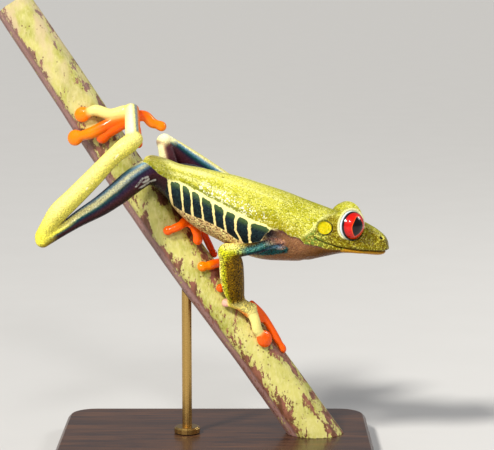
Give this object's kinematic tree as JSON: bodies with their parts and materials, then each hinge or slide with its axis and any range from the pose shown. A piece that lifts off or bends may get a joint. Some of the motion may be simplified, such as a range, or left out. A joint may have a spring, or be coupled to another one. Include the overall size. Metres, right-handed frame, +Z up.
{
  "type": "red-eyed tree frog model",
  "caption": "Life-size still model of a red-eyed tree frog climbing head first down a sloping plant stem, held up on a plain flat base with a slim rod.",
  "frame": {"origin": "centre of the stand base's flat underside", "axes": "+X the way the frog's head points, -Y its right side, which faces the viewer, +Z up"},
  "size_m": [0.0937, 0.052, 0.1124],
  "materials": {
    "green_skin": "moist yellow-green skin, finely granular, satin",
    "blue_skin": "smooth moist skin, teal to dark blue and maroon",
    "orange_skin": "smooth moist bright orange skin",
    "throat_skin": "pale cream-brown granular skin",
    "eardrum": "smooth thin yellow membrane",
    "eye": "wet glossy eye, red iris with an upright black pupil",
    "stem": "fresh pale green plant stem with maroon blotches, satin",
    "stand_base": "dark brown oiled hardwood, satin",
    "stand_rod": "brushed brass"
  },
  "bodies": {
    "root": {"eardrum_left": "eardrum", "eardrum_right": "eardrum", "eye_left": "eye", "eye_right": "eye", "finger_left_1": "orange_skin", "finger_left_2": "orange_skin", "finger_left_3": "orange_skin", "finger_left_4": "orange_skin", "finger_right_1": "orange_skin", "finger_right_2": "orange_skin", "finger_right_3": "orange_skin", "finger_right_4": "orange_skin", "foot_left": "green_skin", "foot_right": "green_skin", "forearm_left": "green_skin", "forearm_right": "green_skin", "hand_left": "green_skin", "hand_right": "green_skin", "head": "green_skin", "lower_jaw": "throat_skin", "pelvis": "green_skin", "shank_left": "green_skin", "shank_right": "green_skin", "stand_base": "stand_base", "stand_rod": "stand_rod", "stem": "stem", "tarsus_left": "green_skin", "tarsus_right": "green_skin", "thigh_left": "blue_skin", "thigh_right": "blue_skin", "toe_left_1": "orange_skin", "toe_left_2": "orange_skin", "toe_left_3": "orange_skin", "toe_left_4": "orange_skin", "toe_left_5": "orange_skin", "toe_right_1": "orange_skin", "toe_right_2": "orange_skin", "toe_right_3": "orange_skin", "toe_right_4": "orange_skin", "toe_right_5": "orange_skin", "trunk": "green_skin", "upper_arm_left": "blue_skin", "upper_arm_right": "blue_skin"}
  },
  "joints": []
}
